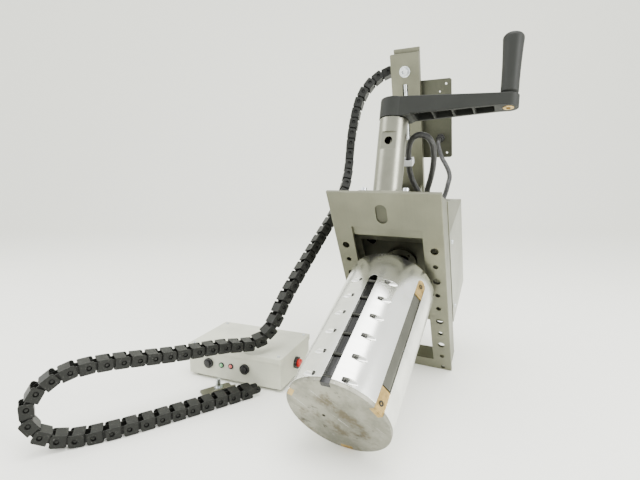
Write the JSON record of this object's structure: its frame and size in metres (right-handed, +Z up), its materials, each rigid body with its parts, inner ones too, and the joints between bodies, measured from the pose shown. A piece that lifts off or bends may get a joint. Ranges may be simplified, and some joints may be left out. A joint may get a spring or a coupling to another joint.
{
  "type": "hand-cranked slotted drum head",
  "caption": "Slotted aluminium drum on a leaning mounting plate, turned by a crank through gears, with a cable chain to a small control box.",
  "frame": {"origin": "centre of the whole object's footprint box, on the surface it stands on", "axes": "+Z up, +X to the right along the mounting plate, +Y from the drum's free end towards the post"},
  "size_m": [0.5588, 0.7056, 0.6073],
  "materials": {
    "stainless": "bead-blasted and brushed stainless sheet",
    "satin_steel": "satin turned steel",
    "drum_aluminium": "bright machined aluminium",
    "end_aluminium": "dull stained aluminium",
    "brass": "aged brass",
    "bronze": "sintered bronze",
    "strip": "dull grey metal strip",
    "dark_strip": "glossy black strip",
    "dark_steel": "blackened steel screws",
    "dark_sheet": "darkened steel sheet",
    "zinc": "zinc-plated steel",
    "gear_steel": "oiled cut gear steel",
    "crank_plastic": "dark blue-grey reinforced plastic",
    "chain_plastic": "black moulded plastic",
    "cable_sleeve": "black braided sleeve",
    "tag": "light grey marker",
    "black_plastic": "black moulded plastic",
    "box_paint": "light grey box",
    "black_button": "black button",
    "red_button": "red button",
    "green_lamp": "green lamp lens",
    "red_lamp": "red lamp lens",
    "rubber": "rubber foot",
    "board": "circuit board"
  },
  "bodies": {
    "root": {"front_plate": "stainless", "oval_plug": "stainless", "frame_channel": "stainless", "gear_housing": "stainless", "side_panel": "stainless", "top_cover": "stainless", "tube_base": "satin_steel", "cover_screws": "zinc", "crank_tube": "satin_steel", "bronze_bushes": "bronze", "countershaft_bracket": "stainless", "bearing_web": "dark_sheet", "drum_bearings": "dark_sheet", "post_front_bar": "stainless", "post_rear_bar": "stainless", "post_bolt": "zinc", "post_hardware": "zinc", "post_carrier": "stainless", "sensor_plate": "stainless", "cable_glands": "black_plastic", "loop_cable": "cable_sleeve", "gland_cable": "cable_sleeve", "cable_tag": "tag", "chain_upper_arc": "chain_plastic", "chain_drop": "chain_plastic", "chain_outer_run": "chain_plastic", "chain_loop": "chain_plastic", "chain_ground_run": "chain_plastic", "chain_brackets": "stainless", "ground_bolt": "zinc", "box_base": "box_paint", "box_lid": "box_paint", "box_feet": "rubber", "button_switches": "black_plastic", "green_lamp": "green_lamp", "red_lamp": "red_lamp", "panel_collars": "black_plastic", "control_board": "board"},
    "drum": {"drum_shell": "drum_aluminium", "drum_end_plate": "end_aluminium", "drum_rear_plate": "end_aluminium", "brass_blocks": "brass", "slot_strips": "strip", "top_slot_strip": "dark_strip", "clamp_screws": "dark_steel", "drum_screws": "dark_steel", "drum_shaft": "satin_steel", "drum_gear": "gear_steel", "shaft_nut": "zinc"},
    "countershaft": {"countershaft": "satin_steel", "countershaft_gear": "gear_steel", "countershaft_pinion": "gear_steel"},
    "crank": {"crank_spindle": "satin_steel", "spindle_gear": "gear_steel", "crank_arm": "crank_plastic", "grip_bolt": "brass"},
    "grip": {"crank_grip": "crank_plastic"},
    "left_button": {"push_button_left": "black_button"},
    "right_button": {"push_button_right": "black_button"},
    "red_button": {"red_button": "red_button"}
  },
  "joints": [
    {"name": "drum_spin", "type": "hinge", "parent": "root", "child": "drum", "pos_m": [0.10205, -0.06163, 0.12193], "axis": [0, -0.8852, -0.4652], "continuous": true},
    {"name": "countershaft_spin", "type": "hinge", "parent": "root", "child": "countershaft", "pos_m": [0.10205, 0.06412, 0.29504], "axis": [0, 0.9733, -0.2296], "continuous": true},
    {"name": "crank_spin", "type": "hinge", "parent": "root", "child": "crank", "pos_m": [0.10205, 0.02456, 0.38863], "axis": [0, 0.2296, 0.9733], "continuous": true},
    {"name": "grip_spin", "type": "hinge", "parent": "crank", "child": "grip", "pos_m": [0.26505, 0.05441, 0.51516], "axis": [0, 0.2296, 0.9733], "continuous": true},
    {"name": "left_button_press", "type": "slide", "parent": "root", "child": "left_button", "axis": [-0.0872, 0.9962, 0], "range_m": [0, 0.003], "stiffness_N_per_m": 400},
    {"name": "right_button_press", "type": "slide", "parent": "root", "child": "right_button", "axis": [-0.0872, 0.9962, 0], "range_m": [0, 0.003], "stiffness_N_per_m": 400},
    {"name": "red_button_press", "type": "slide", "parent": "root", "child": "red_button", "axis": [-0.9962, -0.0872, 0], "range_m": [0, 0.0045], "stiffness_N_per_m": 400}
  ],
  "couplings": [
    {"joint": "countershaft_spin", "follows": "drum_spin", "ratio": 3},
    {"joint": "crank_spin", "follows": "drum_spin", "ratio": -3}
  ]
}
